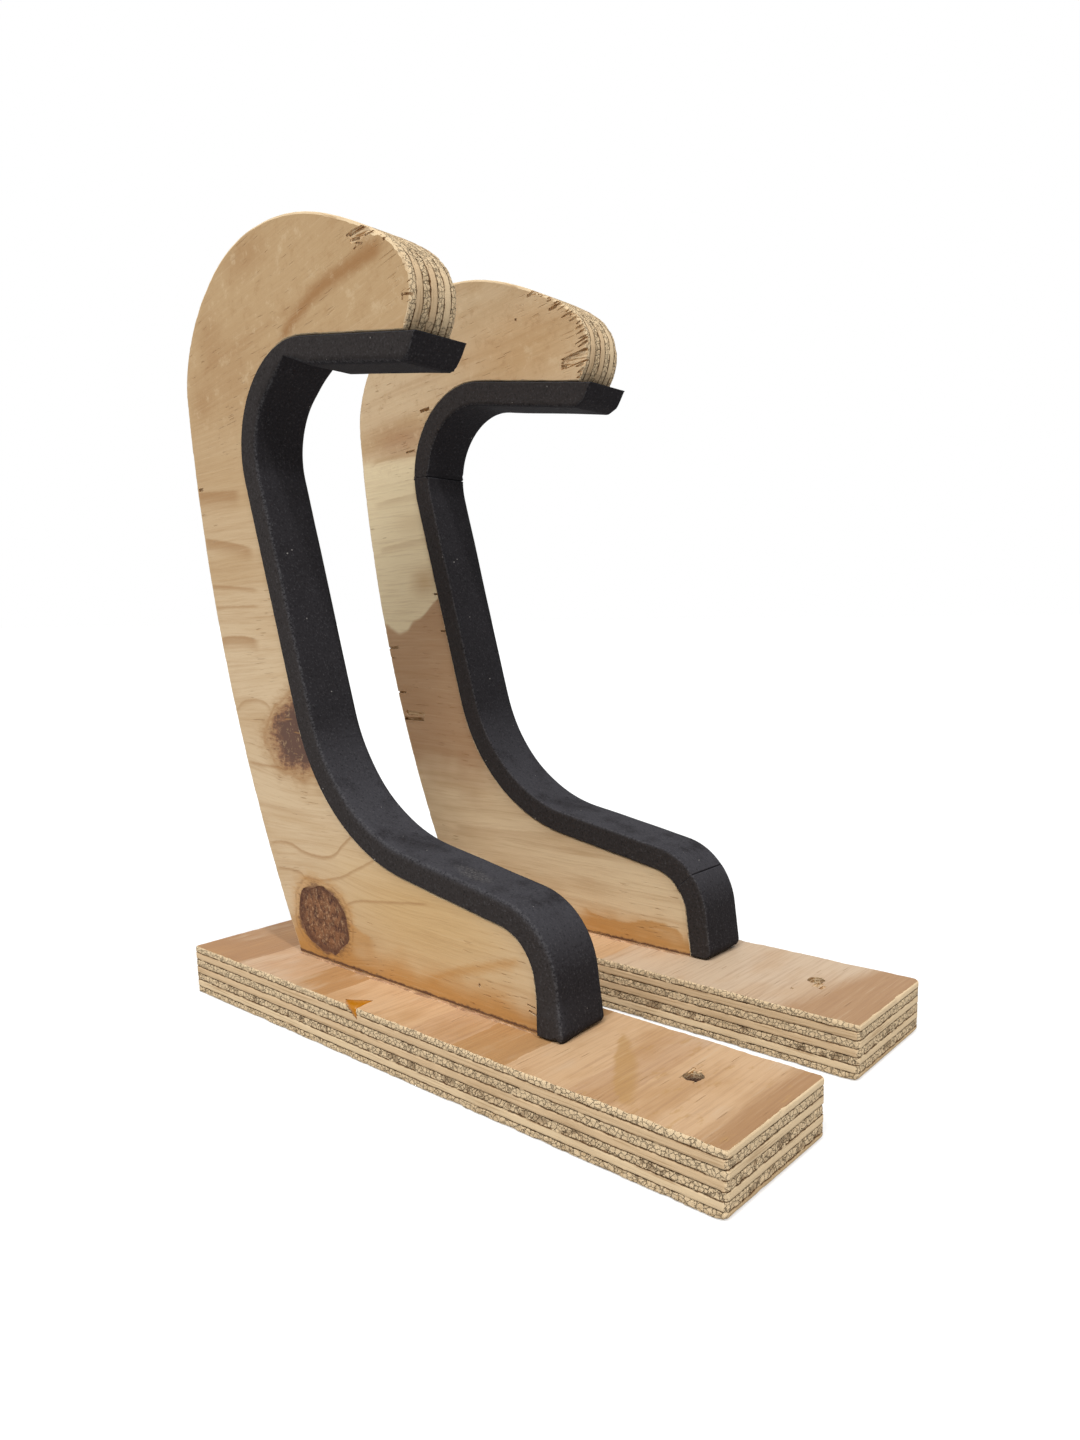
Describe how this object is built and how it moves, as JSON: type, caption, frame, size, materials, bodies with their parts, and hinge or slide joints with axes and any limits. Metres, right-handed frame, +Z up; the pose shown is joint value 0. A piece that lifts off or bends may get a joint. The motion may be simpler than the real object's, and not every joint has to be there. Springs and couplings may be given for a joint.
{
  "type": "surfboard rack",
  "caption": "Pair of plywood swan-neck wall brackets on screw-on base plates, their hooks lined with black foam strip, for holding a surfboard.",
  "frame": {"origin": "centre of the near base plate's underside, the face that goes against a wall", "axes": "+Z up from the plates' undersides, +X towards the hooks' mouths and the wall holes, +Y from the near bracket to the far bracket"},
  "size_m": [0.2575, 0.1335, 0.2702],
  "materials": {
    "plate_plywood": "bare sanded softwood plywood, pinkish tan, raw ply edges",
    "arm_plywood": "bare sanded pine plywood, pale yellow tan, raw ply edges",
    "foam": "matt closed-cell foam, charcoal black",
    "screw_steel": "zinc-plated wood screw"
  },
  "bodies": {
    "near_bracket": {"near_base_plate": "plate_plywood", "near_arm": "arm_plywood", "near_foam_pad": "foam", "near_screw_rear": "screw_steel", "near_screw_middle": "screw_steel", "near_screw_front": "screw_steel"},
    "far_bracket": {"far_base_plate": "plate_plywood", "far_arm": "arm_plywood", "far_toe_pad": "foam", "far_foam_pad": "foam", "far_beak_pad": "foam", "far_screw_rear": "screw_steel", "far_screw_middle": "screw_steel", "far_screw_front": "screw_steel"}
  },
  "joints": [
    {"name": "bracket_spacing", "type": "slide", "parent": "near_bracket", "child": "far_bracket", "axis": [0, 1, 0], "range_m": [-0.03, 0.6]}
  ]
}
